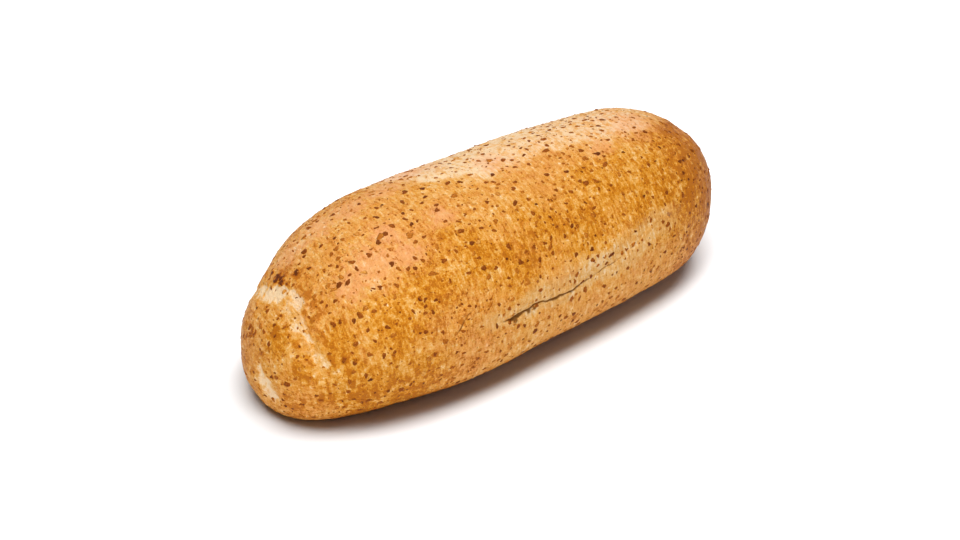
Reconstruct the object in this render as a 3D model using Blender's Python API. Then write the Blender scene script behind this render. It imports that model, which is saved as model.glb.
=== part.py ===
"""Whole wheat bread loaf: one oblong, hand-moulded loaf, solid all through.

The loaf lies along X, with its low folded end at -X and its blunt end at +X.
It rests on its flat baked underside at Z = 0, and its box is centred on the
Z axis. Units are metres.
"""

import math

import bmesh
import bpy
from mathutils import Matrix, Vector, noise

# Driving dimensions
LENGTH = 0.286
WIDTH = 0.122
HEIGHT = 0.090

# How the loaf is rounded. A power of 2 is an ellipse, and more is boxier.
FOLDED_END_POWER = 2.75
BLUNT_END_POWER = 5.5
UNDERSIDE_END_POWER = 1.8
TOP_SECTION_POWER = 2.2
BELLY_SECTION_POWER = 2.5
TIP_DROP_POWER = 4

# Proportions of the section and of its change from end to end
WIDEST_AT = 0.42 * HEIGHT
FOLDED_TIP_AT = 0.21 * HEIGHT
BLUNT_TIP_AT = 0.46 * HEIGHT
BELLY_BELOW_FLOOR = 1.18
WIDTH_TAPER = 0.10
HEIGHT_TAPER = 0.05

# The folded seam, a shallow valley round the loaf near its low end
SEAM_X = -0.430 * LENGTH
SEAM_LEAN = 0.0095
SEAM_LEAN_LOW_Z = 0.12 * HEIGHT
SEAM_LEAN_HIGH_Z = 0.62 * HEIGHT
SEAM_FLOOR_FADE = 0.016
SEAM_DEPTH = 0.0011
SEAM_HALF_WIDTH = 0.0048
SHOULDER_DROP = 0.0016
SHOULDER_DROP_HALF_WIDTH = 0.0115
SHOULDER_DROP_OFFSET = 0.0090
SHOULDER_DROP_LOW_Z = 0.25 * HEIGHT
SHOULDER_DROP_HIGH_Z = 0.62 * HEIGHT
CAP_SWELL = 0.0004
CAP_SWELL_HALF_WIDTH = 0.0100
CAP_SWELL_OFFSET = -0.0150

# The side breaks, where the crust gave way as the loaf rose in the oven
FRONT, BACK = -1, 1
BREAK_START_X = -0.13 * LENGTH
BREAK_END_X = 0.25 * LENGTH
BREAK_FADE = 0.016
BREAK_LOW_Z = 0.52 * HEIGHT
BREAK_HIGH_Z = 0.67 * HEIGHT
BREAK_RISE_START_X = 0.10 * LENGTH
BREAK_DEPTH = 0.0011
BREAK_HALF_WIDTH = 0.0040
BREAK_LIP = 0.0006
BREAK_LIP_OFFSET = 0.0080
BACK_BREAK_LIFT = 0.0060

# The waist, a slight hollow across the back shoulder
WAIST_X = 0.03 * LENGTH
WAIST_Y = 0.30 * WIDTH
WAIST_Z = 0.82 * HEIGHT
WAIST_DEPTH = 0.0020
WAIST_HALF_LENGTH = 0.055
WAIST_HALF_WIDTH = 0.030

# The torn spot on the tip of the folded end
TEAR_Y = -0.100 * WIDTH
TEAR_Z = 0.26 * HEIGHT
TEAR_RADIUS = 0.0090
TEAR_DEPTH = 0.0014

# The slow unevenness of hand-moulded dough
LUMP_SIZE = 0.055
LUMP_HEIGHT = 0.0016
LUMP_OFFSET = Vector((3.1, 7.4, 1.9))

# Mesh fineness
POINTS_ROUND = 66
RINGS_ALONG = 72
SIDE_CROWDING = 0.17
RIM_MERGE = 0.0018
SMOOTH_UP_TO = math.radians(40.0)

CRUST_COLOUR = (0.64, 0.30, 0.065, 1.0)
CRUST_ROUGHNESS = 0.55


def clear_scene():
    for obj in list(bpy.data.objects):
        bpy.data.objects.remove(obj)


def signed_power(value, power):
    return math.copysign(abs(value) ** power, value)


def bell(distance, half_width):
    """1 at no distance, falling smoothly to about a third at half_width."""
    return math.exp(-((distance / half_width) ** 2))


def smooth_step(value, low, high):
    """0 below low, 1 above high, and a smooth climb between them."""
    share = min(1.0, max(0.0, (value - low) / (high - low)))
    return share * share * (3.0 - 2.0 * share)


def fullness(along, power):
    """How full the section is at a share of the half length, 1 in the middle."""
    return math.sqrt(max(0.0, 1.0 - abs(along) ** power))


def loaf_point(direction):
    """The smooth loaf's surface point for a point of the unit sphere.

    X of the sphere runs along the loaf, and the angle round X goes round its
    section: a rounded dome above the widest level and a tucked belly below.
    The points crowd towards the two sides, where the breaks need them.
    """
    along = direction.x
    folded = along < 0.0
    end_power = FOLDED_END_POWER if folded else BLUNT_END_POWER
    tip_at = FOLDED_TIP_AT if folded else BLUNT_TIP_AT
    turn = math.atan2(direction.z, direction.y)
    turn -= SIDE_CROWDING * math.sin(2.0 * turn)
    above = direction.z >= 0.0
    section_power = TOP_SECTION_POWER if above else BELLY_SECTION_POWER

    middle = WIDEST_AT + (tip_at - WIDEST_AT) * along**TIP_DROP_POWER
    dome = HEIGHT * (1.0 - HEIGHT_TAPER * along) - WIDEST_AT
    belly = WIDEST_AT * BELLY_BELOW_FLOOR
    round_end = fullness(along, end_power)
    if above:
        reach = dome * round_end
    else:
        reach = belly * fullness(along, end_power * UNDERSIDE_END_POWER)
    half_width = WIDTH / 2 * (1.0 - WIDTH_TAPER * along) * round_end
    return Vector(
        (
            LENGTH / 2 * along,
            half_width * signed_power(math.cos(turn), 2.0 / section_power),
            middle + reach * signed_power(math.sin(turn), 2.0 / section_power),
        )
    )


def seam_relief(point):
    """The folded seam's valley, the body's lowered shoulder and the cap's swell."""
    lean = 1.0 - smooth_step(point.z, SEAM_LEAN_LOW_Z, SEAM_LEAN_HIGH_Z)
    past = point.x - (SEAM_X + SEAM_LEAN * lean)
    valley = -SEAM_DEPTH * bell(past, SEAM_HALF_WIDTH)
    drop = -SHOULDER_DROP * bell(past - SHOULDER_DROP_OFFSET, SHOULDER_DROP_HALF_WIDTH)
    drop *= smooth_step(point.z, SHOULDER_DROP_LOW_Z, SHOULDER_DROP_HIGH_Z)
    swell = CAP_SWELL * bell(past - CAP_SWELL_OFFSET, CAP_SWELL_HALF_WIDTH)
    return (valley + drop + swell) * smooth_step(point.z, 0.0, SEAM_FLOOR_FADE)


def break_relief(point):
    """The long crease on each side, with the crust above it standing proud."""
    side = FRONT if point.y < 0.0 else BACK
    rise = smooth_step(point.x, BREAK_RISE_START_X, BREAK_END_X)
    crease_z = BREAK_LOW_Z + (BREAK_HIGH_Z - BREAK_LOW_Z) * rise
    if side == BACK:
        crease_z += BACK_BREAK_LIFT
    starts = smooth_step(point.x, BREAK_START_X - BREAK_FADE, BREAK_START_X + BREAK_FADE)
    ends = 1.0 - smooth_step(point.x, BREAK_END_X - BREAK_FADE, BREAK_END_X + BREAK_FADE)
    above = point.z - crease_z
    crease = -BREAK_DEPTH * bell(above, BREAK_HALF_WIDTH)
    lip = BREAK_LIP * bell(above - BREAK_LIP_OFFSET, BREAK_HALF_WIDTH)
    return (crease + lip) * starts * ends


def waist_relief(point):
    """The slight hollow across the back shoulder, near the middle of the loaf."""
    from_shoulder = math.hypot(point.y - WAIST_Y, point.z - WAIST_Z)
    across = bell(from_shoulder, WAIST_HALF_WIDTH)
    return -WAIST_DEPTH * across * bell(point.x - WAIST_X, WAIST_HALF_LENGTH)


def tear_relief(point):
    """The shallow torn spot low on the folded end's tip."""
    if point.x > SEAM_X:
        return 0.0
    from_tear = math.hypot(point.y - TEAR_Y, point.z - TEAR_Z)
    return -TEAR_DEPTH * bell(from_tear, TEAR_RADIUS)


def lump_relief(point):
    return LUMP_HEIGHT * noise.noise(point / LUMP_SIZE + LUMP_OFFSET)


def moulded_loaf():
    """The whole rounded loaf as a bmesh, its belly still reaching below the floor."""
    mesh = bmesh.new()
    bmesh.ops.create_uvsphere(
        mesh, u_segments=POINTS_ROUND, v_segments=RINGS_ALONG, radius=1.0
    )
    lay_along_x = Matrix.Rotation(math.radians(90.0), 3, "Y")
    for vertex in mesh.verts:
        vertex.co = loaf_point((lay_along_x @ vertex.co).normalized())
    bmesh.ops.recalc_face_normals(mesh, faces=mesh.faces)
    mesh.normal_update()
    reliefs = (seam_relief, break_relief, waist_relief, tear_relief, lump_relief)
    moved = [
        (vertex, vertex.normal * sum(relief(vertex.co) for relief in reliefs))
        for vertex in mesh.verts
    ]
    for vertex, offset in moved:
        vertex.co += offset
    return mesh


def join_points_above_rim(mesh):
    """Welds points that lie just above the rim to the rim point beside them."""
    joins = {}
    for edge in mesh.edges:
        low, high = sorted(edge.verts, key=lambda vertex: vertex.co.z)
        if low.is_boundary and not high.is_boundary and edge.calc_length() < RIM_MERGE:
            joins[high] = low
    bmesh.ops.weld_verts(mesh, targetmap=joins)


def cut_flat_underside(mesh):
    """Cuts the belly at the floor and closes it with one flat face."""
    everything = mesh.verts[:] + mesh.edges[:] + mesh.faces[:]
    bmesh.ops.bisect_plane(
        mesh,
        geom=everything,
        plane_co=(0.0, 0.0, 0.0),
        plane_no=(0.0, 0.0, 1.0),
        clear_inner=True,
    )
    rim_points = [vertex for vertex in mesh.verts if vertex.is_boundary]
    bmesh.ops.remove_doubles(mesh, verts=rim_points, dist=RIM_MERGE)
    join_points_above_rim(mesh)
    rim = [edge for edge in mesh.edges if edge.is_boundary]
    bmesh.ops.contextual_create(mesh, geom=rim)
    bmesh.ops.recalc_face_normals(mesh, faces=mesh.faces)


def fit_driving_size(mesh):
    """Scales the loaf to its three driving dimensions and centres its box on Z."""
    size = Vector((LENGTH, WIDTH, HEIGHT))
    low = Vector(min(vertex.co[axis] for vertex in mesh.verts) for axis in range(3))
    high = Vector(max(vertex.co[axis] for vertex in mesh.verts) for axis in range(3))
    middle = (low + high) / 2
    for vertex in mesh.verts:
        for axis in range(3):
            share = (vertex.co[axis] - middle[axis]) / (high[axis] - low[axis])
            vertex.co[axis] = share * size[axis]
        vertex.co.z += HEIGHT / 2


def crust_material():
    material = bpy.data.materials.new("baked_crust")
    material.use_nodes = True
    shader = material.node_tree.nodes["Principled BSDF"]
    shader.inputs["Base Color"].default_value = CRUST_COLOUR
    shader.inputs["Roughness"].default_value = CRUST_ROUGHNESS
    shader.inputs["Metallic"].default_value = 0.0
    return material


def make_loaf():
    mesh = moulded_loaf()
    cut_flat_underside(mesh)
    fit_driving_size(mesh)
    data = bpy.data.meshes.new("loaf")
    mesh.to_mesh(data)
    mesh.free()
    data.shade_smooth()
    data.set_sharp_from_angle(angle=SMOOTH_UP_TO)
    data.materials.append(crust_material())
    loaf = bpy.data.objects.new("loaf", data)
    bpy.context.scene.collection.objects.link(loaf)
    return loaf


clear_scene()
make_loaf()
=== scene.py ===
"""The looks of one whole wheat bread loaf, on a plain white studio floor.

Lengths are metres. The loaf lies along X: its folded end is at -X, its blunt end at +X, and the side
that the camera sees is -Y. Places on the loaf are shares of its box: 0 to 1 in height, and -0.5 to 0.5
along it and across it. Masks are arrays with one number from 0 to 1 for each vertex of the crust.
"""

import math
from collections import namedtuple
from itertools import product

import bmesh
import bpy
import numpy as np
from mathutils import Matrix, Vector
from mathutils.bvhtree import BVHTree
from mathutils.kdtree import KDTree


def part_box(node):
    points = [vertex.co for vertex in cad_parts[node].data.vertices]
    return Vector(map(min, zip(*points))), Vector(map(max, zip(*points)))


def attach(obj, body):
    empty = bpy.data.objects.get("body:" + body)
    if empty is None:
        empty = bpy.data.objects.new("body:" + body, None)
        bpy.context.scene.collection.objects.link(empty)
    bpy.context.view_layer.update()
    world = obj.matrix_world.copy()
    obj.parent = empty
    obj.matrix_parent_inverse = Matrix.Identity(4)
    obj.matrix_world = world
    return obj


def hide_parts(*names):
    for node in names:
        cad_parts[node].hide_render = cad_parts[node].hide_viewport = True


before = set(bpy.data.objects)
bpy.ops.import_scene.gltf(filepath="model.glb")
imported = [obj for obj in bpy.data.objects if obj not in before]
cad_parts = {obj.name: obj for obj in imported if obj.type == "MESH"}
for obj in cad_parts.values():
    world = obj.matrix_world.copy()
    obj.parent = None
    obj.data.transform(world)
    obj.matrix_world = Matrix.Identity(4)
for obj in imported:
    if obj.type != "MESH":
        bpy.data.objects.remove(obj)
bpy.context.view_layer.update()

LOW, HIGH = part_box("loaf")
LENGTH, WIDTH, HEIGHT = HIGH - LOW
SIZE = np.array((LENGTH, WIDTH, HEIGHT))

# The photograph's frame in pixels, and the camera that sees TARGET at TARGET_PIXEL
IMAGE_WIDTH, IMAGE_HEIGHT = 960, 540
SENSOR = 36.0
FOCAL_PIXELS = 1800.0
AZIMUTH, ELEVATION = math.radians(-34.74), math.radians(38.0)
TARGET = Vector((0.0, 0.0, 0.040))
TARGET_PIXEL = (484.0, 249.8)
DISTANCE = 0.9594
NEAREST_SEEN = 0.01

# The crust's mesh: its grid, how it is smoothed, how near a seam or crack its faces are split, twice over,
# and how far the skin sits inside the CAD solid
VOXEL = 0.00144
SMOOTHING = 0.5
SMOOTHING_ROUNDS = 18
FINE_REACHES = (0.0062, 0.0024)
SKIN_INSET = 0.00030

# How much further faces are split round the seam than round a crack, and the height where that begins
SEAM_FINER = 0.0008
SEAM_FINE_FROM = 0.05

# The length of the noise's tables, a power of two, and what brings it to about -1 to 1
NOISE_TABLE = 256
NOISE_GAIN = 1.6

# Each kind of unevenness is a sum of noises: (strength, size of its bumps, seed)
SWELLS = (
    (0.00038, 0.022, 41), (0.00022, 0.0085, 42), (0.00013, 0.0042, 43), (0.00008, 0.0026, 44),
    (0.00007, (0.0024, 0.0075, 0.0075), 46),
)
SEAM_WANDER = ((0.0008, 0.012, 11), (0.0012, 0.0042, 12), (0.0007, 0.0018, 13))
SEAM_STRANDS = ((1.0, (0.0050, 0.0011, 0.0011), 16), (0.6, 0.0012, 17))
BAND_SWELL = ((0.30, 0.014, 14),)
BAND_PATCHES = ((0.35, 0.0048, 18),)
LIP_FRAY = ((0.75, 0.0055, 15),)
CREASES = ((3.2, (0.006, 0.011, 0.011), 45),)
TEAR_EDGE = ((0.0018, 0.0024, 54),)
TEAR_GRAIN = ((0.0002, 0.0014, 53),)
PALE_EDGE = ((0.0030, 0.014, 61), (0.0022, 0.005, 62))
PALE_STREAKS = ((0.30, (0.016, 0.010, 0.0030), 63),)
STRIP_PATCHES = ((0.60, 0.012, 64), (0.45, 0.0052, 65))
LOW_LIGHT_EDGE = ((0.06, 0.020, 66),)
TOAST_LIP_PATCHES = ((0.9, 0.0060, 71),)
FOOT_EDGE = ((0.05, 0.020, 72),)
TOAST_BLOTCHES = ((1.0, 0.0075, 73), (0.5, 0.0030, 74))
SHADE_EDGE = ((0.06, 0.020, 75),)
PATCH_EDGE = ((0.35, 0.0090, 91), (0.25, 0.0030, 92))
FAR_EDGE = ((0.02, 0.03, 93),)
BRAN_PATCHES = ((0.7, 0.030, 101),)

# The same for a crack, with seeds that count on from the crack's own
BREAK_WANDER = ((0.0007, 0.0085, 0), (0.00055, 0.0026, 1))
BREAK_PATCHES = ((0.55, 0.0065, 2),)
BREAK_FRAY = ((0.8, 0.0045, 3),)
BREAK_TEARS = ((4.0, (0.012, 0.012, 0.0021), 4),)

# Creases in the skin: their depth, and how far past the seam they stay deep
CREASE_DEPTH = 0.00016
CREASE_REACH = 0.020

# Blisters in the skin, swollen charred spots, and pits in the underside, which fade out over UNDER_RISE
BLISTERS = 520
BLISTER_RADII = (0.0016, 0.0045)
BLISTER_HEIGHTS = (0.00012, 0.00042)
PITS = 500
PIT_RADII = (0.0015, 0.0035)
PIT_DEPTHS = (0.0002, 0.0006)
CHAR_SWELL = 1.8
CHAR_HEIGHT = 0.0005
UNDER_RISE = (0.0004, 0.0020)

# The folded seam: the edge of the body's crust as (height, place along the loaf), how pale the band of torn
# dough on its folded side is as (height, share), the heights over which the seam sets in, and the sizes of
# the band and of the lip beside it. Edges are distances past the seam
SEAM_EDGE = (
    (0.10, -0.396), (0.27, -0.402), (0.35, -0.406), (0.43, -0.410), (0.49, -0.411), (0.55, -0.418),
    (0.60, -0.419), (0.64, -0.416), (0.68, -0.409), (0.71, -0.402), (0.78, -0.398),
)
SEAM_GLOW = (
    (0.15, 0.30), (0.33, 0.12), (0.42, 0.12), (0.475, 0.60), (0.52, 0.62), (0.545, 0.40), (0.58, 0.66),
    (0.62, 0.64), (0.655, 0.44), (0.68, 0.60), (0.70, 1.0),
)
SEAM_STARTS = (0.03, 0.20)
BAND_WIDTH = 0.0066
BAND_EDGE = (-0.0013, 0.0009)
BAND_DEPTH = 0.0007
STRAND_HEIGHT = 0.00024
LIP_HEIGHT = 0.0004
LIP_PLACE = 0.0016
LIP_HALF_WIDTH = 0.0014
FOLDED_END_EDGE = (-0.0030, 0.0010)

# The cracks in the sides: side, seed, and points as (place along the loaf, height, strength)
FRONT, BACK = -1, 1
BREAKS = (
    (FRONT, 21, (
        (-0.122, 0.503, 0.0), (-0.100, 0.491, 0.5), (-0.078, 0.490, 1.0), (-0.045, 0.498, 1.0),
        (-0.030, 0.512, 0.8), (-0.011, 0.497, 0.9), (0.013, 0.486, 0.9), (0.050, 0.489, 0.7),
        (0.085, 0.510, 0.45), (0.117, 0.522, 0.40), (0.165, 0.548, 0.22), (0.210, 0.586, 0.30),
        (0.255, 0.665, 0.0),
    )),
    (FRONT, 27, (
        (-0.207, 0.515, 0.0), (-0.195, 0.548, 0.7), (-0.183, 0.589, 0.8), (-0.171, 0.622, 0.7),
        (-0.155, 0.650, 0.0),
    )),
    (BACK, 31, (
        (-0.150, 0.640, 0.0), (-0.080, 0.600, 0.6), (-0.010, 0.585, 0.9), (0.060, 0.575, 0.9),
        (0.115, 0.590, 0.7), (0.180, 0.650, 0.4), (0.240, 0.730, 0.0),
    )),
)
MAIN_BREAKS = (BREAKS[0], BREAKS[2])
BREAK_DEPTH = 0.0015
BREAK_HALF_WIDTH = 0.00060

# The folds beside a crack: their height, and each one's share of it, place above the crack and half width
FOLD_HEIGHT = 0.00055
FOLDS = ((1.0, 0.0030, 0.0024), (0.7, -0.0026, 0.0018))

# The fine tears beside a crack: their depth, their middle above the crack, and their reach
SMALL_TEAR_DEPTH = 0.00026
SMALL_TEAR_PLACE = 0.002
SMALL_TEAR_REACH = 0.0075

# The pale zones, as (place along the loaf, how far it reaches): above and below a main crack in metres, and
# the front edge of the pale strip on the back shoulder as a share of the width; that strip is partly paler
# crust and partly painted highlight. Then where each zone fades in and out along the loaf, the strip's soft
# edge in metres and the height where it fades in
PALE_ABOVE_BREAK = (
    (-0.20, 0.0070), (-0.10, 0.0095), (-0.02, 0.0150), (0.05, 0.0195), (0.13, 0.0135), (0.22, 0.0080),
    (0.34, 0.0040),
)
PALE_BELOW_BREAK = ((-0.20, 0.0060), (0.05, 0.0075), (0.14, 0.0120), (0.24, 0.0170), (0.36, 0.0180))
STRIP_EDGE = (
    (-0.20, 0.30), (-0.14, 0.20), (-0.119, 0.09), (-0.089, 0.02), (-0.048, -0.04), (0.0, -0.065),
    (0.06, -0.07), (0.113, -0.05), (0.17, -0.04), (0.258, -0.10), (0.355, -0.10), (0.43, -0.04),
)
PALE_STARTS, PALE_ENDS = (-0.215, -0.085), (0.260, 0.370)
STRIP_STARTS, STRIP_ENDS = (-0.24, -0.06), (0.38, 0.50)
STRIP_FADE = (-0.0045, 0.0170)
STRIP_HEIGHTS = (0.62, 0.80)

# The lower sides of the body, painted slightly paler as painted light, and the darker far end, partly
# browner crust and partly painted shade: where they fade in or out
LOW_LIGHT_HEIGHTS = (0.30, 0.62)
LOW_LIGHT_STARTS = (-0.20, -0.02)
FAR_STARTS = (0.22, 0.47)

# Darker baking and painted shade: the seam's lip as its place and half width past the seam, and where it
# begins; the foot's heights and its edge at the seam, the foot being partly browner crust and partly painted
# shade; the blotches' limits; and the painted shade on the low part of the body beside the seam
TOAST_LIP = (0.0024, 0.0028)
TOAST_LIP_FROM = -0.0002
FOOT_HEIGHTS = (0.04, 0.18)
FOOT_SEAM = (-0.004, 0.004)
BLOTCH_LIMITS = (0.62, 0.95)
SHADE_SEAM = (0.0, 0.008)
SHADE_ENDS = (-0.26, -0.10)
SHADE_HEIGHTS = (0.24, 0.46)

# The torn spot on the tip of the folded end: its two ends as shares of width and height, its half width and
# depth, and how far its outline wanders, by which noise
TEAR_FROM = (-0.048, 0.318)
TEAR_TO = (-0.110, 0.212)
TEAR_HALF_WIDTH = 0.0056
TEAR_DEPTH = 0.0007
TEAR_WANDER = 0.0024
TEAR_WANDER_SIZE = 0.0050
TEAR_WANDER_SEEDS = (51, 52)

# Spots and soft patches of colour: the photograph's pixel that shows each one, and its radius
# Deeper amber patches; those low on the front side are painted shade
AMBER_AND_SHADE_SEEN = (
    (399, 324, 0.020), (430, 289, 0.016), (546, 229, 0.015), (586, 219, 0.018), (479, 254, 0.017),
    (520, 261, 0.016), (641, 205, 0.016), (660, 189, 0.016), (400, 362, 0.012), (446, 236, 0.007),
    (590, 180, 0.012), (612, 158, 0.011), (508, 246, 0.007), (520, 289, 0.005), (340, 342, 0.011),
    (303, 374, 0.006), (276, 338, 0.007), (384, 380, 0.016), (356, 374, 0.012), (428, 368, 0.012),
    (404, 388, 0.013), (355, 394, 0.015), (612, 184, 0.015), (668, 214, 0.015), (690, 196, 0.013),
    (648, 168, 0.012),
)
# Pink patches of painted highlight
PINK_HIGHLIGHT_SEEN = (
    (372, 267, 0.015), (352, 286, 0.010), (407, 254, 0.010), (386, 233, 0.009), (440, 215, 0.008),
    (490, 162, 0.012), (380, 192, 0.010), (601, 148, 0.009), (628, 121, 0.018), (289, 253, 0.010),
    (318, 227, 0.011), (348, 208, 0.012), (382, 188, 0.010), (300, 246, 0.008),
)
TOAST_SEEN = (
    (313, 303, 0.0020), (304, 314, 0.0018), (312, 320, 0.0018), (322, 336, 0.0020), (326, 342, 0.0018),
    (345, 360, 0.0025), (348, 372, 0.0025), (352, 385, 0.0028), (350, 396, 0.0022), (294, 343, 0.0020),
    (297, 346, 0.0018), (300, 408, 0.0026), (293, 407, 0.0024), (575, 318, 0.0022), (596, 311, 0.0032),
    (604, 306, 0.0032), (620, 300, 0.0020), (512, 344, 0.0026), (525, 341, 0.0018), (283, 273, 0.0042),
    (297, 274, 0.0034), (276, 334, 0.0026), (279, 315, 0.0015), (284, 396, 0.0020), (304, 402, 0.0018),
    (321, 400, 0.0020), (261, 353, 0.0022),
)
CHAR_SEEN = (
    (272, 273, 0.0016), (276, 278, 0.0022), (282, 281, 0.0025), (287, 284, 0.0018), (296, 272, 0.0017),
)
# Spots of painted shade in the main crack
CRACK_SHADE_SEEN = ((516, 320, 0.0016), (529, 311, 0.0018), (535, 308, 0.0013))

# Patches that the photograph doesn't show, at the back: shares of length, width and height, and a radius
AMBER_BEHIND = (
    (-0.20, 0.36, 0.80, 0.020), (0.05, 0.44, 0.73, 0.020), (0.30, 0.34, 0.80, 0.016),
    (-0.30, 0.40, 0.60, 0.018),
)
# Pink patches of painted highlight at the back
PINK_HIGHLIGHT_BEHIND = ((-0.10, 0.30, 0.90, 0.018), (0.20, 0.44, 0.55, 0.014))

# The boldest bran flakes: the photograph's pixel that shows each one and its length, then what all share
FLAKES_SEEN = (
    (354, 321, 0.0034), (369, 255, 0.0036), (392, 264, 0.0040), (380, 287, 0.0030), (335, 301, 0.0028),
    (344, 360, 0.0036), (375, 341, 0.0028), (321, 246, 0.0032), (378, 242, 0.0036), (359, 204, 0.0030),
    (349, 223, 0.0026), (365, 218, 0.0028), (405, 219, 0.0034), (425, 197, 0.0034), (437, 210, 0.0036),
    (424, 237, 0.0028), (415, 258, 0.0032), (444, 261, 0.0036), (456, 251, 0.0030), (461, 231, 0.0042),
    (472, 243, 0.0036), (460, 182, 0.0036), (487, 202, 0.0032), (515, 167, 0.0034), (524, 155, 0.0032),
    (529, 141, 0.0030), (515, 182, 0.0034), (533, 213, 0.0038), (509, 247, 0.0040), (521, 262, 0.0036),
    (484, 268, 0.0038), (496, 268, 0.0030), (479, 258, 0.0030), (469, 273, 0.0030), (534, 247, 0.0030),
    (556, 190, 0.0030), (540, 260, 0.0030), (550, 217, 0.0026), (572, 226, 0.0030), (594, 208, 0.0032),
    (592, 249, 0.0034), (598, 256, 0.0026), (591, 276, 0.0028), (616, 288, 0.0028), (651, 220, 0.0032),
    (649, 244, 0.0036), (663, 222, 0.0026), (674, 236, 0.0030), (435, 354, 0.0036), (529, 341, 0.0032),
    (560, 316, 0.0026), (443, 332, 0.0028), (426, 332, 0.0028), (433, 312, 0.0030), (425, 300, 0.0028),
    (436, 300, 0.0026), (497, 326, 0.0030), (283, 400, 0.0030), (321, 400, 0.0030), (354, 399, 0.0028),
    (275, 336, 0.0028), (340, 322, 0.0026), (322, 302, 0.0026), (395, 352, 0.0028), (464, 353, 0.0026),
)
BOLD_WIDTHS = (0.6, 0.9)
BOLD_THICKNESS = 0.00026
BOLD_TONES = (0.46, 0.74)

# The bran that is scattered: how many of a kind, how far apart, their usual length, its spread and limits,
# the limits of their thickness, their usual tone and how many corners each one has
Bran = namedtuple("Bran", "name count gap length spread lengths thicknesses tone corners")
FLAKES = Bran("bran_flakes", 1500, 0.0030, 0.0027, 0.30, (0.0015, 0.0046), (0.00014, 0.00030), 0.47, 11)
BITS = Bran("bran_bits", 2400, 0.0014, 0.0013, 0.32, (0.0006, 0.0022), (0.00006, 0.00013), 0.36, 6)

# Widths are shares of a flake's length. Tones run from 0, straw, to 1, nearly black, and STRAW_SHARE of the
# flakes are straw-coloured. A film of dough over a flake's rim leaves RIM_SHARE of its tone to be seen
WIDTHS = (0.50, 0.95)
STRAW_SHARE = 0.09
STRAW_TONES = (0.0, 0.12)
TONE_SPREAD = 0.16
TONES = (0.1, 0.80)
FILM_TONE = 0.16
RIM_SHARE = 0.45

# A flake's outline, as shares of its oval: its usual reach, its waves as (count, height), and the jitter of
# its corners. Then its inner ring's share of reach and of thickness, and the mean and spread of its curl
OUTLINE_REACH = 0.90
OUTLINE_WAVES = ((2.0, 0.15), (3.0, 0.12))
OUTLINE_JITTER = 0.17
RING_REACH = 0.62
RING_THICKNESS = 0.85
CURL = (-0.02, 0.09)

# How far a flake's rim and its lowest point are let into the crust
RIM_SUNK = 0.00004
ROOT_SUNK = 0.00030

BRAN_SEED = 7


def smooth(values, low, high):
    """0 below low, 1 above high, and a smooth climb between them."""
    share = np.clip((values - low) / (high - low), 0.0, 1.0)
    return share * share * (3.0 - 2.0 * share)


def bell(distance, half_width):
    """1 at no distance, falling smoothly to about a third at half_width."""
    return np.exp(-((distance / half_width) ** 2))


def noise(points, size, seed):
    """Smooth noise from about -1 to 1 at each point. The size of its bumps is one length or one per axis."""
    rng = np.random.default_rng(seed)
    leans = rng.normal(size=(NOISE_TABLE, 3))
    leans /= np.linalg.norm(leans, axis=1)[:, None]
    shuffle = rng.permutation(NOISE_TABLE)
    last = NOISE_TABLE - 1
    place = points / size + rng.uniform(50.0, 150.0, 3)
    cell = np.floor(place).astype(int)
    inside = place - cell
    fade = inside**3 * (inside * (inside * 6.0 - 15.0) + 10.0)
    total = np.zeros(len(points))
    for corner in product((0, 1), repeat=3):
        pick = shuffle[(cell[:, 0] + corner[0]) & last]
        pick = shuffle[(pick + cell[:, 1] + corner[1]) & last]
        pick = shuffle[(pick + cell[:, 2] + corner[2]) & last]
        weight = np.where(corner, fade, 1.0 - fade).prod(axis=1)
        total += weight * ((inside - corner) * leans[pick]).sum(axis=1)
    return NOISE_GAIN * total


def layered(points, layers, first_seed=0):
    """The sum of noises, each one a (strength, size, seed). The seeds count on from first_seed."""
    return sum(strength * noise(points, size, first_seed + seed) for strength, size, seed in layers)


def distance_to_segment(places, start, end):
    """Each place's distance to the straight line from start to end."""
    start, end = np.array(start), np.array(end)
    span = end - start
    share = np.clip((places - start) @ span / (span @ span), 0.0, 1.0)
    return np.linalg.norm(places - start - share[:, None] * span, axis=1)


# ---------------------------------------- places on the loaf


class View:
    """The photograph's view of the loaf."""

    def __init__(self):
        level = math.cos(ELEVATION)
        self.back = Vector((math.sin(AZIMUTH) * level, -math.cos(AZIMUTH) * level, math.sin(ELEVATION)))
        self.right = Vector((math.cos(AZIMUTH), math.sin(AZIMUTH), 0.0))
        self.up = self.back.cross(self.right)
        self.place = TARGET - self.sight(TARGET_PIXEL) * DISTANCE

    def sight(self, pixel):
        """The line of sight through a pixel, one metre deep."""
        aside = (pixel[0] - IMAGE_WIDTH / 2) / FOCAL_PIXELS
        above = (IMAGE_HEIGHT / 2 - pixel[1]) / FOCAL_PIXELS
        return self.right * aside + self.up * above - self.back

    def seen(self, tree, pixel):
        """The place on a surface that shows at a pixel."""
        return tree.ray_cast(self.place, self.sight(pixel).normalized())[0]


VIEW = View()


def past_seam(points):
    """How far each point is beyond the seam towards the body, negative on the folded end."""
    edge = np.array(SEAM_EDGE)
    past = points[:, 0] - np.interp(points[:, 2] / HEIGHT, edge[:, 0], edge[:, 1]) * LENGTH
    return past + layered(points, SEAM_WANDER)


def above_break(points, route, seed):
    """How far each point is above a crack, with the crack's own wandering."""
    route = np.array(route)
    crack = np.interp(points[:, 0] / LENGTH, route[:, 0], route[:, 1]) * HEIGHT
    return points[:, 2] - crack + layered(points, BREAK_WANDER, seed)


def break_strength(points, route, side, seed):
    """How open a crack is at each point's place along the loaf."""
    route = np.array(route)
    strength = np.interp(points[:, 0] / LENGTH, route[:, 0], route[:, 2])
    strength = strength * np.clip(0.85 + layered(points, BREAK_PATCHES, seed), 0.15, 1.3)
    return np.where(points[:, 1] * side > 0.0, strength, 0.0)


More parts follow.
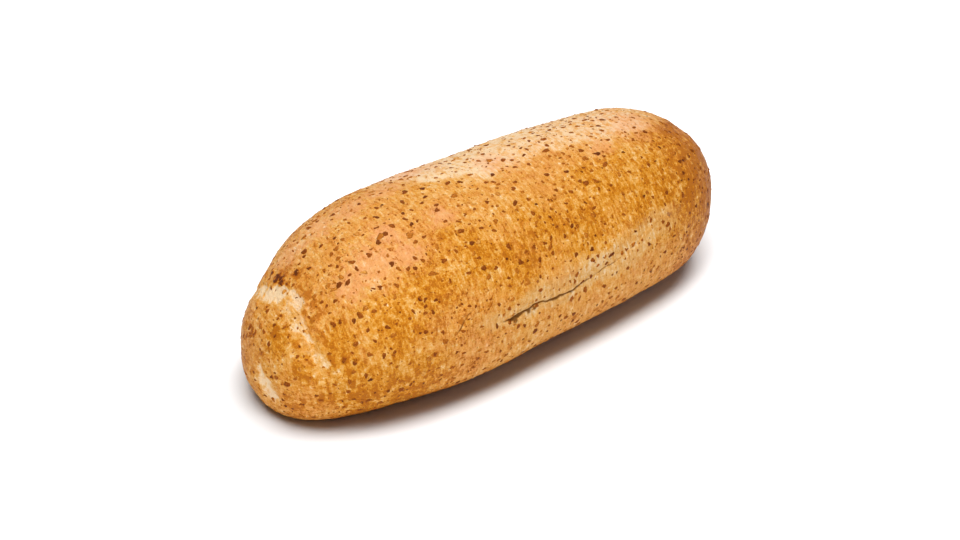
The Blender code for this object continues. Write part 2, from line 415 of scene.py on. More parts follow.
def fine_distance(points):
    """Each point's distance to the nearest feature that needs the finest mesh."""
    nearest = np.abs(past_seam(points)) - SEAM_FINER
    nearest = np.where(points[:, 2] < SEAM_FINE_FROM * HEIGHT, 1.0, nearest)
    along = points[:, 0] / LENGTH
    for side, seed, route in BREAKS:
        near = (along > route[0][0]) & (along < route[-1][0]) & (points[:, 1] * side > 0.0)
        nearest = np.minimum(nearest, np.where(near, np.abs(above_break(points, route, seed)), 1.0))
    return nearest


# ---------------------------------------- the crust's mesh


def evenly_meshed(node):
    """A smooth copy of a CAD node's mesh in even quads."""
    mesh = node.data.copy()
    skin = bpy.data.objects.new("skin_source", mesh)
    bpy.context.scene.collection.objects.link(skin)
    remesh = skin.modifiers.new("even", "REMESH")
    remesh.mode = "VOXEL"
    remesh.voxel_size = VOXEL
    round_off = skin.modifiers.new("round_off", "SMOOTH")
    round_off.factor = SMOOTHING
    round_off.iterations = SMOOTHING_ROUNDS
    evaluated = skin.evaluated_get(bpy.context.evaluated_depsgraph_get())
    even = bpy.data.meshes.new_from_object(evaluated)
    bpy.data.objects.remove(skin)
    even.materials.clear()
    return even


def refine(mesh):
    """Splits the faces near the seam and the cracks, where the relief is finest."""
    work = bmesh.new()
    work.from_mesh(mesh)
    for reach in FINE_REACHES:
        centres = np.array([face.calc_center_median() for face in work.faces])
        near = np.flatnonzero(fine_distance(centres) < reach)
        work.faces.ensure_lookup_table()
        edges = {edge for index in near for edge in work.faces[index].edges}
        bmesh.ops.subdivide_edges(work, edges=list(edges), cuts=1, use_grid_fill=True)
    work.to_mesh(mesh)
    work.free()


def read_array(mesh, name):
    """A mesh's vertex places or normals, one row for each vertex."""
    found = np.empty(len(mesh.vertices) * 3, np.float32)
    mesh.vertices.foreach_get(name, found)
    return found.reshape(-1, 3).astype(float)


def store_mask(mesh, name, values):
    """Stores one number for each vertex, from 0 to 1, for a material to read."""
    attribute = mesh.attributes.new(name, "FLOAT", "POINT")
    attribute.data.foreach_set("value", np.clip(values, 0.0, 1.0).astype(np.float32))


# ---------------------------------------- relief


def slow_relief(points):
    """The unevenness of baked dough, from slow swells down to a fine leathery grain."""
    return layered(points, SWELLS)


def wrinkle_relief(points, past):
    """Shallow creases in the skin, strongest on the folded end and beside the seam."""
    crease = 1.0 - np.abs(layered(points, CREASES))
    near_fold = bell(np.maximum(past, 0.0), CREASE_REACH)
    return -CREASE_DEPTH * np.clip(crease, 0.0, 1.0) * (0.35 + 0.65 * near_fold)


def seam_masks(points, past):
    """The band of torn dough beside the body's crust, and how much of the seam there is at each height."""
    height = points[:, 2] / HEIGHT
    present = smooth(height, *SEAM_STARTS)
    width = BAND_WIDTH * (0.95 - 0.38 * smooth(height, 0.58, 0.72)) * (1.0 + layered(points, BAND_SWELL))
    below = 1.0 - smooth(past, *BAND_EDGE)
    fade = 1.0 - smooth(-past, 0.45 * width, 1.20 * width)
    glow = np.array(SEAM_GLOW)
    behind = smooth(points[:, 1] / WIDTH, -0.02, 0.06) * (0.45 + 0.55 * smooth(height, 0.40, 0.74))
    glow = np.maximum(np.interp(height, glow[:, 0], glow[:, 1]), behind)
    patchy = np.clip(1.0 + layered(points, BAND_PATCHES), 0.60, 1.15)
    return np.minimum(below * fade * present * glow * patchy, 1.0), present


def seam_relief(points, past, band, present):
    """The torn band sunk beside the body's crust, whose edge stands proud as a ragged lip."""
    ragged = np.clip(0.65 + layered(points, LIP_FRAY), 0.0, 1.5)
    lip = LIP_HEIGHT * bell(past - LIP_PLACE, LIP_HALF_WIDTH) * ragged * present
    return lip - band * (BAND_DEPTH + STRAND_HEIGHT * layered(points, SEAM_STRANDS))


def break_relief(points, side, seed, route):
    """A crack between two frayed folds, with fine tears beside it. Also gives the mask of painted shade in
    the crack and its tears.
    """
    above = above_break(points, route, seed)
    strength = break_strength(points, route, side, seed)
    groove = bell(above, BREAK_HALF_WIDTH * (0.55 + 0.75 * strength)) * strength
    frayed = np.clip(0.75 + layered(points, BREAK_FRAY, seed), 0.0, 1.5)
    folds = FOLD_HEIGHT * sum(share * bell(above - place, half_width) for share, place, half_width in FOLDS)
    tears = np.clip(1.0 - np.abs(layered(points, BREAK_TEARS, seed)), 0.0, 1.0)
    tears = tears * bell(above - SMALL_TEAR_PLACE, SMALL_TEAR_REACH) * np.clip(strength * 1.8, 0.0, 1.0)
    relief = folds * frayed * np.clip(1.3 * strength, 0.0, 1.0)
    relief = relief - BREAK_DEPTH * groove - SMALL_TEAR_DEPTH * tears
    return relief, np.maximum(np.minimum(1.6 * groove, 1.0), 0.45 * tears)


def tear_mask(points):
    """The torn spot on the folded end's tip."""
    wander = np.stack([noise(points, TEAR_WANDER_SIZE, seed) for seed in TEAR_WANDER_SEEDS], axis=1)
    places = points[:, 1:] + TEAR_WANDER * wander
    start = np.array(TEAR_FROM) * (WIDTH, HEIGHT)
    end = np.array(TEAR_TO) * (WIDTH, HEIGHT)
    gap = distance_to_segment(places, start, end) + layered(points, TEAR_EDGE)
    half_width = TEAR_HALF_WIDTH * (1.15 - 0.55 * smooth(points[:, 2] / HEIGHT, 0.20, 0.32))
    inside = 1.0 - smooth(gap, 0.10 * half_width, 1.25 * half_width)
    return inside * (points[:, 0] < SEAM_EDGE[-1][1] * LENGTH)


def domes(points, tree, centres, radii, heights):
    """Round blisters at the centres: their relief, and a mask that is 1 at their tops."""
    relief, tops = np.zeros(len(points)), np.zeros(len(points))
    for centre, radius, height in zip(centres, radii, heights):
        for _, index, gap in tree.find_range(centre, radius):
            rise = (1.0 - (gap / radius) ** 2) ** 2
            relief[index] = max(relief[index], height * rise)
            tops[index] = max(tops[index], rise)
    return relief, tops


def random_domes(points, tree, count, radii, heights, allowed, seed):
    """Blisters at random vertices, more of them where allowed is high."""
    rng = np.random.default_rng(seed)
    centres = points[rng.choice(len(points), count, p=allowed / allowed.sum())]
    return domes(points, tree, centres, rng.uniform(*radii, count), rng.uniform(*heights, count))


# ---------------------------------------- colour masks


def pale_masks(points):
    """The pale zones: less browned round each main crack, and along the back shoulder a strip that is partly
    paler crust and partly painted highlight.
    """
    along, height = points[:, 0] / LENGTH, points[:, 2] / HEIGHT
    ragged = layered(points, PALE_EDGE)
    pale = np.zeros(len(points))
    for side, seed, route in MAIN_BREAKS:
        above = above_break(points, route, seed) + ragged
        upper = np.interp(along, *np.transpose(PALE_ABOVE_BREAK))
        lower = np.interp(along, *np.transpose(PALE_BELOW_BREAK))
        zone = (1.0 - smooth(above, 0.35 * upper, 1.20 * upper)) * (1.0 - smooth(-above, 0.15 * lower, lower))
        zone *= smooth(along, *PALE_STARTS) * (1.0 - smooth(along, *PALE_ENDS))
        pale = np.maximum(pale, np.where(points[:, 1] * side > 0.0, zone, 0.0))
    pale *= 1.0 + layered(points, PALE_STREAKS)
    edge = np.interp(along, *np.transpose(STRIP_EDGE)) * WIDTH
    strip_pale_and_highlight = smooth(points[:, 1] + 1.5 * ragged - edge, *STRIP_FADE) * smooth(height, *STRIP_HEIGHTS)
    strip_pale_and_highlight *= smooth(along, *STRIP_STARTS) * (1.0 - smooth(along, *STRIP_ENDS))
    patchy = 0.90 + 0.30 * smooth(along, 0.06, 0.22) + layered(points, STRIP_PATCHES)
    return pale, strip_pale_and_highlight * np.clip(patchy, 0.2, 1.2)


def low_side_light_mask(points):
    """The lower sides of the body, where the crust is painted slightly paler as painted light."""
    height = points[:, 2] / HEIGHT + layered(points, LOW_LIGHT_EDGE)
    return (1.0 - smooth(height, *LOW_LIGHT_HEIGHTS)) * smooth(points[:, 0] / LENGTH, *LOW_LIGHT_STARTS)


def toast_and_shade_mask(points, past, present, spots):
    """Darker baking and painted shade: the seam's lip, the foot of the loaf, partly painted shade, scattered
    blotches, the spots, and painted shade on the low part of the body beside the seam."""
    along, height = points[:, 0] / LENGTH, points[:, 2] / HEIGHT
    place, half_width = TOAST_LIP
    patchy = np.clip(0.35 + layered(points, TOAST_LIP_PATCHES), 0.0, 1.0)
    lip = bell(past - place, half_width) * patchy * present * (past > TOAST_LIP_FROM)
    # The foot: partly browner crust, partly painted shade along the low rim
    foot = 1.0 - smooth(height + layered(points, FOOT_EDGE), *FOOT_HEIGHTS)
    foot *= 0.40 + 0.60 * smooth(past, *FOOT_SEAM)
    blotches = smooth(layered(points, TOAST_BLOTCHES), *BLOTCH_LIMITS)
    shade = smooth(past, *SHADE_SEAM) * (1.0 - smooth(along, *SHADE_ENDS))
    shade *= 1.0 - smooth(height + layered(points, SHADE_EDGE), *SHADE_HEIGHTS)
    return np.maximum.reduce((0.9 * lip, 0.85 * foot, 0.6 * blotches, spots)) + 0.56 * shade


def spots_seen(tree, spots):
    """The centre and radius of each spot that is given by a pixel."""
    return [(VIEW.seen(tree, pixel), radius) for *pixel, radius in spots]


def spots_behind(spots):
    """The centre and radius of each spot that is given by its shares of the loaf's box."""
    return [(np.array(place) * SIZE, radius) for *place, radius in spots]


def patches(points, spots, ragged):
    """Soft round patches, one for each spot, with their edges moved by the ragged array."""
    mask = np.zeros(len(points))
    for centre, radius in spots:
        gap = np.linalg.norm(points - np.array(centre), axis=1)
        mask = np.maximum(mask, bell(np.maximum(gap + ragged * radius, 0.0), radius))
    return mask


def sculpt(mesh):
    """Gives the smooth skin its relief, and stores the masks that its material reads."""
    points, normals = read_array(mesh, "co"), read_array(mesh, "normal")
    tree = KDTree(len(points))
    for index, point in enumerate(points):
        tree.insert(point, index)
    tree.balance()
    skin = BVHTree.FromPolygons(points.tolist(), [face.vertices[:] for face in mesh.polygons])
    burnt = spots_seen(skin, CHAR_SEEN)
    past = past_seam(points)
    band, present = seam_masks(points, past)
    tear = tear_mask(points)
    pale, strip_pale_and_highlight = pale_masks(points)
    calm = (1.0 - 0.8 * band) * (1.0 - 0.6 * pale) * (0.15 + 0.85 * smooth(points[:, 2] / HEIGHT, 0.05, 0.2))
    under = 1.0 - smooth(points[:, 2], *UNDER_RISE)
    blisters, tops = random_domes(points, tree, BLISTERS, BLISTER_RADII, BLISTER_HEIGHTS, calm, 81)
    pits, _ = random_domes(points, tree, PITS, PIT_RADII, PIT_DEPTHS, 0.002 + under, 82)
    swollen = [(centre, CHAR_SWELL * radius, CHAR_HEIGHT) for centre, radius in burnt]
    lumps, _ = domes(points, tree, *zip(*swollen))

    relief = slow_relief(points) + wrinkle_relief(points, past) + blisters * calm - pits * under + lumps
    relief += seam_relief(points, past, band, present)
    # Painted shade in the cracks and their tears
    crack_shade = np.zeros(len(points))
    for side, seed, route in BREAKS:
        crack, mask = break_relief(points, side, seed, route)
        relief += crack
        crack_shade = np.maximum(crack_shade, mask)
    relief -= tear * (TEAR_DEPTH + layered(points, TEAR_GRAIN))
    relief -= SKIN_INSET
    moved = np.clip(points + normals * relief[:, None], LOW, HIGH)
    mesh.vertices.foreach_set("co", moved.astype(np.float32).ravel())

    ragged = layered(points, PATCH_EDGE)
    masks = {
        "pale": pale,
        # The back shoulder's strip: partly paler crust, partly painted highlight
        "strip_pale_and_highlight": strip_pale_and_highlight,
        "torn": band,
        "tear": tear,
        # Painted shade in the cracks and their tears
        "crack_shade": np.maximum(crack_shade, patches(points, spots_seen(skin, CRACK_SHADE_SEEN), ragged)),
        # Darker baking, with painted shade on the foot and the low body beside the seam
        "toast_and_shade": toast_and_shade_mask(points, past, present, patches(points, spots_seen(skin, TOAST_SEEN), ragged)),
        "blister": tops * calm,
        # Deeper amber patches, with painted shade low on the front side
        "amber_and_shade": patches(points, spots_seen(skin, AMBER_AND_SHADE_SEEN) + spots_behind(AMBER_BEHIND), ragged),
        # Pink patches of painted highlight
        "pink_highlight": patches(points, spots_seen(skin, PINK_HIGHLIGHT_SEEN) + spots_behind(PINK_HIGHLIGHT_BEHIND), ragged),
        # The far end's darkening: partly browner crust, partly painted shade
        "far": smooth(points[:, 0] / LENGTH + layered(points, FAR_EDGE), *FAR_STARTS),
        "char": patches(points, burnt, ragged),
        # Painted light: the lower sides painted slightly paler
        "low_side_light": low_side_light_mask(points),
        "cap": 1.0 - smooth(past, *FOLDED_END_EDGE),
    }
    for name, mask in masks.items():
        store_mask(mesh, name, mask)


def make_crust():
    """The loaf's skin, meshed afresh from the CAD solid."""
    mesh = evenly_meshed(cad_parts["loaf"])
    refine(mesh)
    sculpt(mesh)
    mesh.name = "crust"
    mesh.shade_smooth()
    mesh.materials.append(crust_material())
    crust = bpy.data.objects.new("crust", mesh)
    bpy.context.scene.collection.objects.link(crust)
    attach(crust, "root")
    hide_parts("loaf")
    return crust


# ---------------------------------------- materials


def srgb(red, green, blue):
    """A screen colour, 0 to 255 each, as a shader's linear colour."""

    def linear(value):
        share = value / 255.0
        return share / 12.92 if share <= 0.04045 else ((share + 0.055) / 1.055) ** 2.4

    return (linear(red), linear(green), linear(blue), 1.0)


class Shader:
    """Builds one material's nodes. Its methods from mask on add nodes and give an output socket."""

    def __init__(self, name):
        self.material = bpy.data.materials.new(name)
        self.material.use_nodes = True
        self.tree = self.material.node_tree
        self.surface = self.tree.nodes["Principled BSDF"]
        self.place = self.add("ShaderNodeTexCoord").outputs["Object"]

    def add(self, kind, **settings):
        node = self.tree.nodes.new(kind)
        for name, value in settings.items():
            setattr(node, name, value)
        return node

    def put(self, socket, value):
        """Links an output socket to an input, or sets the input to a plain value."""
        if isinstance(value, bpy.types.NodeSocket):
            self.tree.links.new(value, socket)
        else:
            socket.default_value = value

    def fill(self, node, inputs):
        """Puts a value into each named input of a node."""
        for name, value in inputs.items():
            self.put(node.inputs[name], value)

    def finish(self, colour, rough, gloss, **others):
        """Fills in the surface, and gives the finished material."""
        look = {"Base Color": colour, "Roughness": rough, "Specular IOR Level": gloss}
        self.fill(self.surface, look | others)
        return self.material

    def mask(self, name):
        return self.add("ShaderNodeAttribute", attribute_name=name).outputs["Fac"]

    def math(self, operation, first, second=0.0, third=0.0):
        node = self.add("ShaderNodeMath", operation=operation)
        for socket, value in zip(node.inputs, (first, second, third)):
            self.put(socket, value)
        return node.outputs[0]

    def total(self, start, *terms):
        """The start plus the sum of (socket, factor) pairs."""
        result = start
        for value, factor in terms:
            result = self.math("MULTIPLY_ADD", value, factor, result)
        return result

    def shifted(self, stretch, shift):
        """The place on the loaf, stretched along each axis and moved off by a shift."""
        node = self.add("ShaderNodeMapping")
        location = (shift, shift * 0.37, shift * 0.71)
        self.fill(node, {"Vector": self.place, "Location": location, "Scale": stretch})
        return node.outputs[0]

    def noise(self, size, detail=2.0, rough=0.5, stretch=(1.0, 1.0, 1.0), shift=0.0):
        """Cloudy noise about 0, mostly from -0.25 to 0.25."""
        node = self.add("ShaderNodeTexNoise")
        place = self.shifted(stretch, shift)
        self.fill(node, {"Vector": place, "Scale": 1.0 / size, "Detail": detail, "Roughness": rough})
        return self.math("SUBTRACT", node.outputs["Fac"], 0.5)

    def spots(self, spacing, least, most, shift):
        """Round spots: a mask, and a random number for each. Their radii are shares of the spacing."""
        node = self.add("ShaderNodeTexVoronoi")
        self.fill(node, {"Vector": self.shifted((1.0, 1.0, 1.0), shift), "Scale": 1.0 / spacing})
        parts = self.add("ShaderNodeSeparateColor")
        self.put(parts.inputs[0], node.outputs["Color"])
        radius = self.total(least, (self.math("POWER", parts.outputs[0], 2.0), most - least))
        inside = self.math("SUBTRACT", radius, node.outputs["Distance"])
        inside = self.total(inside, (self.noise(spacing * 0.3, shift=shift + 3.0), 0.5))
        return self.ramp(inside, -0.03, 0.07), parts.outputs[1]

    def ramp(self, value, low, high, to_low=0.0, to_high=1.0):
        node = self.add("ShaderNodeMapRange", interpolation_type="SMOOTHSTEP")
        for socket, number in zip(node.inputs[:5], (value, low, high, to_low, to_high)):
            self.put(socket, number)
        return node.outputs[0]

    def colours(self, value, stops):
        """A smooth run of colours. The stops are (place, colour) pairs."""
        node = self.add("ShaderNodeValToRGB")
        points = node.color_ramp.elements
        while len(points) < len(stops):
            points.new(0.5)
        for point, (place, colour) in zip(points, stops):
            point.position = place
            point.color = colour
        self.put(node.inputs[0], value)
        return node.outputs[0]

    def mix(self, under, over, share):
        node = self.add("ShaderNodeMix", data_type="RGBA")
        self.put(node.inputs[0], share)
        self.put(node.inputs[6], under)
        self.put(node.inputs[7], over)
        return node.outputs[2]

    def bump(self, height, depth):
        node = self.add("ShaderNodeBump")
        self.fill(node, {"Distance": depth, "Height": height})
        return node.outputs[0]


# The colours that dough takes as it bakes, from raw and pale to charred
BAKE = (
    (0.00, srgb(232, 202, 160)),
    (0.16, srgb(224, 176, 108)),
    (0.32, srgb(216, 156, 72)),
    (0.46, srgb(206, 137, 38)),
    (0.60, srgb(190, 114, 12)),
    (0.74, srgb(154, 78, 8)),
    (0.88, srgb(106, 49, 7)),
    (1.00, srgb(60, 27, 6)),
)
# A pink tint, mixed faintly into the whole crust and strongly into its patches of painted highlight
PINK_TINT_AND_HIGHLIGHT = srgb(226, 157, 110)
# The painted shade inside the cracks
CRACK_SHADE = srgb(112, 64, 10)
FLOUR = srgb(202, 160, 110)

# The colours of bran, from straw to nearly black
BRAN = (
    (0.00, srgb(208, 150, 72)),
    (0.20, srgb(176, 104, 24)),
    (0.50, srgb(134, 65, 4)),
    (0.80, srgb(92, 42, 4)),
    (1.00, srgb(48, 22, 6)),
)

# How far dough is baked, from 0 to 1: the crust as a rule, the underside, and the most that the crust gets
# before its spots and after its charred patches are added
BAKED = 0.41
BAKED_UNDER = 0.56
MOST_BAKED = 0.66
MOST_CHARRED = 0.92

# What each mask adds to the baking: its name, the values between which it sets in, and the most it adds
BAKE_MASKS = (
    # Deeper amber patches, with painted shade low on the front side
    # The pink patches are painted highlight, which makes the crust a little paler there
    ("amber_and_shade", 0.10, 1.05, 0.14), ("pink_highlight", 0.15, 0.95, -0.06), ("pale", 0.10, 0.90, -0.165),
    # The back shoulder's strip: partly paler crust, partly painted highlight
    ("strip_pale_and_highlight", 0.05, 0.85, -0.37), ("torn", 0.04, 1.0, -0.55), ("tear", -0.10, 0.95, -0.50),
    # Darker baking, with painted shade on the foot and the low body beside the seam
    # The far end's darkening: partly browner crust, partly painted shade
    ("toast_and_shade", 0.12, 0.90, 0.30), ("far", 0.0, 1.1, 0.34),
)

# Small round spots: their spacing, their least and largest radius as shares of it, how much they add to the
# baking, and a shift of their pattern
BAKE_SPOTS = (
    (0.0050, 0.00, 0.34, 0.30, 11.0),
    (0.0028, 0.02, 0.32, 0.26, 13.0),
    (0.0050, -0.05, 0.22, -0.26, 17.0),
)

# The heights between which the underside's baking gives way to the sides'
UNDER_EDGE = (0.0006, 0.0032)

CRUST_GLOSS = 0.09
CRUST_BUMP = 0.0010
BRAN_GLOSS = 0.12
BRAN_BUMP = 0.0001


class CrustShader(Shader):
    """Builds the crust's material from its mottling, broad to fine, and the skin's masks."""

    def __init__(self, name):
        super().__init__(name)
        self.broad = self.noise(0.034, 2.0)
        self.middle = self.noise(0.0085, 3.0, 0.55, shift=1.0)
        self.small = self.noise(0.0026, 4.0, 0.62, shift=2.0)
        self.fine = self.noise(0.0008, 3.0, 0.6, shift=3.0)
        self.streak = self.noise(0.0015, 2.0, 0.5, (1.0, 0.3, 0.3), 4.0)
        self.wrinkled = self.noise(0.0020, 2.0, 0.5, (0.5, 0.5, 1.4), 6.0)
        height = self.add("ShaderNodeSeparateXYZ")
        self.put(height.inputs[0], self.place)
        self.under = self.ramp(height.outputs[2], *UNDER_EDGE, 1.0, 0.0)

    def ragged(self, name, low, high):
        """A mask whose edge is broken up by the crust's own mottling."""
        return self.ramp(self.total(self.mask(name), (self.small, 1.0), (self.middle, 0.5)), low, high)

    def bake(self):
        """How far each place is baked, with some painted light and shade added in."""
        small, middle, fine = self.small, self.middle, self.fine
        bake = self.total(BAKED, (self.broad, 0.34), (middle, 0.46), (small, 1.00), (fine, 0.75))
        # Painted light: the lower sides painted slightly paler
        bake = self.total(bake, (self.streak, 0.82), (self.mask("low_side_light"), -0.02))
        uneven = self.total(0.06, (small, -0.05), (middle, 0.10), (self.wrinkled, 0.72))
        bake = self.total(bake, (self.math("MULTIPLY", self.mask("cap"), uneven), 1.0))
        for name, low, high, most in BAKE_MASKS:
            bake = self.total(bake, (self.ragged(name, low, high), most))
        bake = self.math("MINIMUM", self.total(bake, (self.mask("blister"), 0.06)), MOST_BAKED)
        for spacing, least, most, depth, shift in BAKE_SPOTS:
            spots, chance = self.spots(spacing, least, most, shift)
            strength = self.math("MULTIPLY", spots, self.ramp(chance, 0.0, 1.0, 0.4, 1.0))
            bake = self.total(bake, (strength, depth))
        bake = self.math("MINIMUM", self.total(bake, (self.ragged("char", 0.10, 0.70), 0.34)), MOST_CHARRED)
        below = self.total(BAKED_UNDER, (self.broad, 0.4), (middle, 0.6), (small, 0.5), (fine, 0.3))
        change = self.math("SUBTRACT", below, bake)
        return self.total(bake, (self.math("MULTIPLY", change, self.under), 1.0))

    def colour(self):
        """The baking's colour: pink tint and painted pink highlight in places, floury round the cracks, and
        painted shade inside them.
        """
        bake = self.bake()
        # How much pink goes in: a faint tint all over, and painted highlight in the pink patches
        pink_and_highlight = self.total(0.15, (self.ragged("pink_highlight", 0.15, 0.95), 0.40), (self.mask("amber_and_shade"), -0.20))
        pink_and_highlight = self.total(pink_and_highlight, (self.broad, 0.5), (self.small, 0.8), (self.mask("pale"), -0.18))
        pink_and_highlight = self.math("MULTIPLY", self.math("MAXIMUM", pink_and_highlight, 0.0), self.ramp(bake, 0.75, 0.45))
        crack_shade = self.total(self.mask("crack_shade"), (self.small, 0.8))
        colour = self.mix(self.colours(bake, BAKE), PINK_TINT_AND_HIGHLIGHT, pink_and_highlight)
        colour = self.mix(colour, FLOUR, self.ramp(self.mask("pale"), 0.15, 0.85, 0.0, 0.28))
        # Painted shade inside the cracks
        return self.mix(colour, CRACK_SHADE, self.ramp(crack_shade, 0.20, 0.80, 0.0, 0.90))

    def roughness(self):
        """Duller on pale and torn dough and on the underside."""
        torn, pale = self.mask("torn"), self.mask("pale")
        return self.total(0.50, (self.small, 0.45), (pale, 0.10), (torn, 0.20), (self.under, 0.2))

    def relief(self):
        """Fine grain, pores and hair creases."""
        pores, _ = self.spots(0.0014, -0.05, 0.28, 19.0)
        creases = self.math("ABSOLUTE", self.noise(0.0034, 3.0, 0.6, shift=23.0))
        relief = self.total(0.0, (self.small, 1.0), (self.streak, 0.40), (self.fine, 0.45), (pores, -0.18))
        return self.total(relief, (self.ramp(creases, 0.0, 0.05, 1.0, 0.0), -0.12))


def crust_material():
    """Baked crust. One number, how far each place is baked, with painted light and shade added in, picks
    most of its colour.
    """
    make = CrustShader("baked_crust")
    relief = make.bump(make.relief(), CRUST_BUMP)
    return make.finish(make.colour(), make.roughness(), CRUST_GLOSS, Normal=relief)


def bran_material():
    """Toasted bran: flakes from straw to nearly black, streaked and rough."""
    make = Shader("toasted_bran")
    streaks = make.noise(0.0006, 3.0, 0.6, shift=5.0)
    colour = make.colours(make.total(make.mask("tone"), (streaks, 1.1)), BRAN)
    rough = make.total(0.68, (streaks, 0.5))
    return make.finish(colour, rough, BRAN_GLOSS, Normal=make.bump(streaks, BRAN_BUMP))


# ---------------------------------------- bran


class Surface:
    """The finished crust, for finding places on it."""

    def __init__(self, crust):
        mesh = crust.data
        mesh.calc_loop_triangles()
        self.points = read_array(mesh, "co")
        corners = np.empty(len(mesh.loop_triangles) * 3, np.int32)
        mesh.loop_triangles.foreach_get("vertices", corners)
        self.triangles = corners.reshape(-1, 3)
        self.tree = BVHTree.FromPolygons(self.points.tolist(), self.triangles.tolist())
        first, second, third = (self.points[self.triangles[:, corner]] for corner in range(3))
        self.areas = np.linalg.norm(np.cross(second - first, third - first), axis=1) / 2.0
        self.middles = (first + second + third) / 3.0

    def scatter(self, count, spacing, density, rng, others=()):
        """Random places on the crust, more where density is high, none closer than spacing to each other
        or to the others."""
        chance = self.areas * density
        picks = rng.choice(len(chance), count * 2, p=chance / chance.sum())
        shares = rng.dirichlet((1.0, 1.0, 1.0), count * 2)
        places = (self.points[self.triangles[picks]] * shares[:, :, None]).sum(axis=1)
        kept, taken = [], {}
        for other in map(np.array, others):
            taken.setdefault(tuple(np.floor(other / spacing).astype(int)), []).append(other)
        for place in places:
            cell = tuple(np.floor(place / spacing).astype(int))
            around = (taken.get(tuple(np.add(cell, step)), []) for step in product((-1, 0, 1), repeat=3))
            if all(np.linalg.norm(place - other) > spacing for group in around for other in group):
                taken.setdefault(cell, []).append(place)
                kept.append(place)
            if len(kept) == count:
                break
        return kept

    def raised(self, place, height):
        """The crust's nearest point to a place, lifted along its normal there."""
        spot, normal, _, _ = self.tree.find_nearest(place)
        return spot + normal * height


def add_flake(surface, place, size, tone, corners, rng, shape):
    """Adds one flake to the shape: an irregular thin flake that follows the crust, its rim let into it."""
    _, normal, _, _ = surface.tree.find_nearest(place)
    side = normal.orthogonal().normalized()
    other = normal.cross(side)
    length, width, thickness = size
    turn, curl_at = rng.uniform(0.0, math.tau, 2)
    curl = max(0.0, rng.normal(*CURL)) * length
    angles = np.arange(corners) * math.tau / corners
    reach = np.full(corners, OUTLINE_REACH)
    for (count, height), phase in zip(OUTLINE_WAVES, rng.uniform(0.0, math.tau, len(OUTLINE_WAVES))):
        reach += height * np.cos(count * angles + phase)
    reach += rng.uniform(-OUTLINE_JITTER, OUTLINE_JITTER, corners)

    def spot(angle, radius, height):
        out = Vector((math.cos(angle) * length / 2, math.sin(angle) * width / 2)) * radius
        u = out.x * math.cos(turn) - out.y * math.sin(turn)
        v = out.x * math.sin(turn) + out.y * math.cos(turn)
        lift = curl * radius * max(0.0, math.cos(angle - curl_at)) ** 2
        return surface.raised(Vector(place) + side * u + other * v, height + lift)

    start = len(shape["points"])
    shape["points"].append(spot(0.0, 0.0, thickness))
    ring = RING_THICKNESS * thickness
    shape["points"] += [spot(angle, RING_REACH * far, ring) for angle, far in zip(angles, reach)]
    shape["points"] += [spot(angle, far, -RIM_SUNK) for angle, far in zip(angles, reach)]
    shape["points"].append(spot(0.0, 0.0, -ROOT_SUNK))
    bottom = start + 2 * corners + 1
    for corner in range(corners):
        after = (corner + 1) % corners
        inner, inner_after = start + 1 + corner, start + 1 + after
        outer, outer_after = inner + corners, inner_after + corners
        shape["faces"] += [(start, inner, inner_after), (inner, outer, outer_after, inner_after)]
        shape["faces"].append((bottom, outer_after, outer))
    rim = FILM_TONE + RIM_SHARE * (tone - FILM_TONE)
    shape["tones"] += [tone] * (corners + 1) + [rim] * (corners + 1)


def bran_piece(kind, surface, flakes, rng, material):
    """One mesh with all the flakes of a kind, each a (place, size, tone)."""
    shape = {"points": [], "faces": [], "tones": []}
    for place, size, tone in flakes:
        add_flake(surface, place, size, tone, kind.corners, rng, shape)
    mesh = bpy.data.meshes.new(kind.name)
    mesh.from_pydata(np.clip(shape["points"], LOW, HIGH).tolist(), [], shape["faces"])
    mesh.shade_smooth()
    store_mask(mesh, "tone", np.array(shape["tones"]))
    mesh.materials.append(material)
    piece = bpy.data.objects.new(kind.name, mesh)
    bpy.context.scene.collection.objects.link(piece)
    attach(piece, "root")
    return piece


def bold_flakes(surface, rng):
    """The flakes that the photograph shows one by one."""
    flakes = []
    for *pixel, length in FLAKES_SEEN:
        size = (length, length * rng.uniform(*BOLD_WIDTHS), BOLD_THICKNESS)
        flakes.append((VIEW.seen(surface.tree, pixel), size, rng.uniform(*BOLD_TONES)))
    return flakes


def scattered_flakes(kind, surface, density, rng, others=()):
    """Flakes at random places, their sizes and tones drawn round the kind's usual ones."""
    flakes = []
    for place in surface.scatter(kind.count, kind.gap, density, rng, others):
        length = float(np.clip(rng.lognormal(math.log(kind.length), kind.spread), *kind.lengths))
        if rng.random() < STRAW_SHARE:
            tone = rng.uniform(*STRAW_TONES)
        else:
            tone = float(np.clip(rng.normal(kind.tone, TONE_SPREAD), *TONES))
        size = (length, length * rng.uniform(*WIDTHS), rng.uniform(*kind.thicknesses))
        flakes.append((place, size, tone))
    return flakes


def make_bran(crust):
    """The bran in the crust: fewer flakes low down, on the seam's torn band and on the torn spot."""
    surface = Surface(crust)
    rng = np.random.default_rng(BRAN_SEED)
    middles = surface.middles
    density = 0.35 + 0.65 * smooth(middles[:, 2] / HEIGHT, 0.02, 0.12)
    density *= np.clip(1.0 + layered(middles, BRAN_PATCHES), 0.3, 2.0)
    density *= 1.0 - 0.75 * seam_masks(middles, past_seam(middles))[0]
    density *= 1.0 - tear_mask(middles)
    flakes = bold_flakes(surface, rng)
    flakes += scattered_flakes(FLAKES, surface, density, rng, [place for place, _, _ in flakes])
    bits = scattered_flakes(BITS, surface, density, rng)
    kinds = ((FLAKES, flakes), (BITS, bits))
    material = bran_material()
    return [bran_piece(kind, surface, chosen, rng, material) for kind, chosen in kinds]


# ---------------------------------------- floor, light and camera


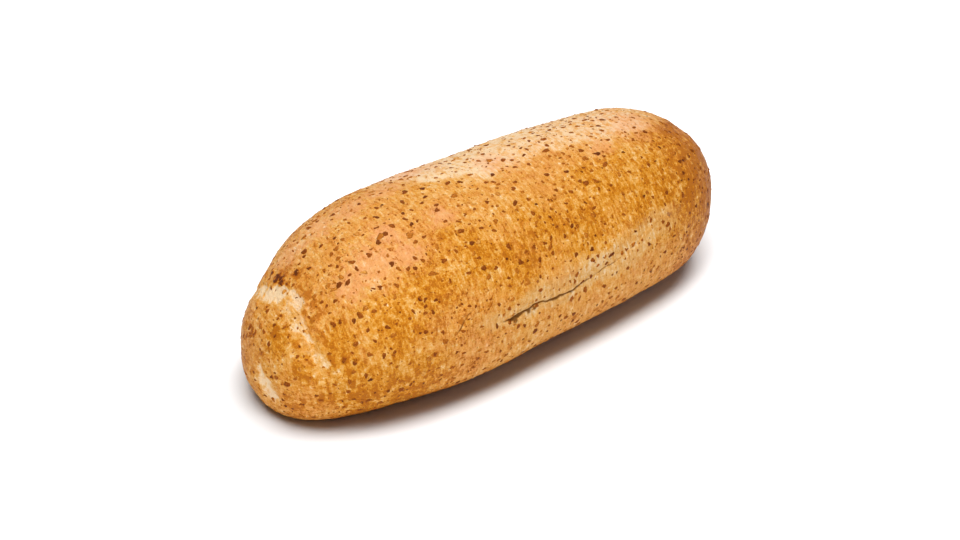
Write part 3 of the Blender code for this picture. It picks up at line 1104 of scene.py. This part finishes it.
FLOOR_SIZE = 8.0
FLOOR_DROP = 0.0002
FLOOR_COLOUR = (0.79, 0.80, 0.82, 1.0)
FLOOR_ROUGHNESS = 0.85
FLOOR_GLOSS = 0.1

# The lamps: place, size and watts. The world's light is plain white
LAMP_COLOUR = (1.0, 0.993, 0.98)
OVERHEAD = ((0.12, -0.13, 2.04), (2.3, 1.0), 39.7)
FLOOR_LIFT = ((0.20, 0.00, 2.04), (2.0, 0.9), 45.0)
SIDE_LIFT = ((1.2, -0.60, 0.6), (0.5, 0.5), 1.3)
FRONT_CARD = ((-0.70, -0.97, 0.90), (0.7, 0.7), 14.3)
BACK_CARD = ((0.35, 1.25, 0.95), (1.4, 1.0), 10.5)
WORLD_COLOUR = (1.0, 1.0, 1.0, 1.0)
WORLD_STRENGTH = 0.06


def make_floor():
    """A plain pale floor, just below the loaf."""
    mesh = bpy.data.meshes.new("floor")
    half = FLOOR_SIZE / 2
    corners = [(x, y, -FLOOR_DROP) for x, y in ((-half, -half), (half, -half), (half, half), (-half, half))]
    mesh.from_pydata(corners, [], [(0, 1, 2, 3)])
    mesh.materials.append(Shader("studio_floor").finish(FLOOR_COLOUR, FLOOR_ROUGHNESS, FLOOR_GLOSS))
    floor = bpy.data.objects.new("floor", mesh)
    bpy.context.scene.collection.objects.link(floor)
    return floor


def add_light(name, place, size, power, level=False, only_on=()):
    """A soft light that faces the loaf, or hangs level. It can light some pieces only."""
    light = bpy.data.lights.new(name, "AREA")
    light.shape = "RECTANGLE"
    light.size, light.size_y = size
    light.energy = power
    light.color = LAMP_COLOUR
    lamp = bpy.data.objects.new(name, light)
    bpy.context.scene.collection.objects.link(lamp)
    lamp.location = place
    if not level:
        lamp.rotation_euler = (Vector(place) - TARGET).to_track_quat("Z", "Y").to_euler()
    if only_on:
        lit = bpy.data.collections.new(name + "_lit")
        for piece in only_on:
            lit.objects.link(piece)
        lamp.light_linking.receiver_collection = lit


def make_lights(floor, pieces):
    """Overhead light on everything, two lamps that whiten the floor and two that fill the loaf's sides."""
    world = bpy.data.worlds.new("studio")
    world.use_nodes = True
    background = world.node_tree.nodes["Background"]
    background.inputs["Color"].default_value = WORLD_COLOUR
    background.inputs["Strength"].default_value = WORLD_STRENGTH
    bpy.context.scene.world = world
    add_light("overhead", *OVERHEAD, level=True)
    add_light("floor_lift", *FLOOR_LIFT, level=True, only_on=[floor])
    add_light("side_lift", *SIDE_LIFT, only_on=[floor])
    add_light("front_card", *FRONT_CARD, only_on=pieces)
    add_light("back_card", *BACK_CARD, only_on=pieces)
    bpy.context.scene.view_settings.view_transform = "Standard"


def make_camera():
    """The camera that takes the photograph's view."""
    data = bpy.data.cameras.new("camera")
    data.sensor_width = SENSOR
    data.lens = FOCAL_PIXELS / IMAGE_WIDTH * SENSOR
    data.clip_start = NEAREST_SEEN
    camera = bpy.data.objects.new("camera", data)
    camera.location = VIEW.place
    camera.rotation_euler = VIEW.back.to_track_quat("Z", "Y").to_euler()
    bpy.context.scene.collection.objects.link(camera)
    bpy.context.scene.camera = camera


make_camera()
crust = make_crust()
make_lights(make_floor(), [crust] + make_bran(crust))
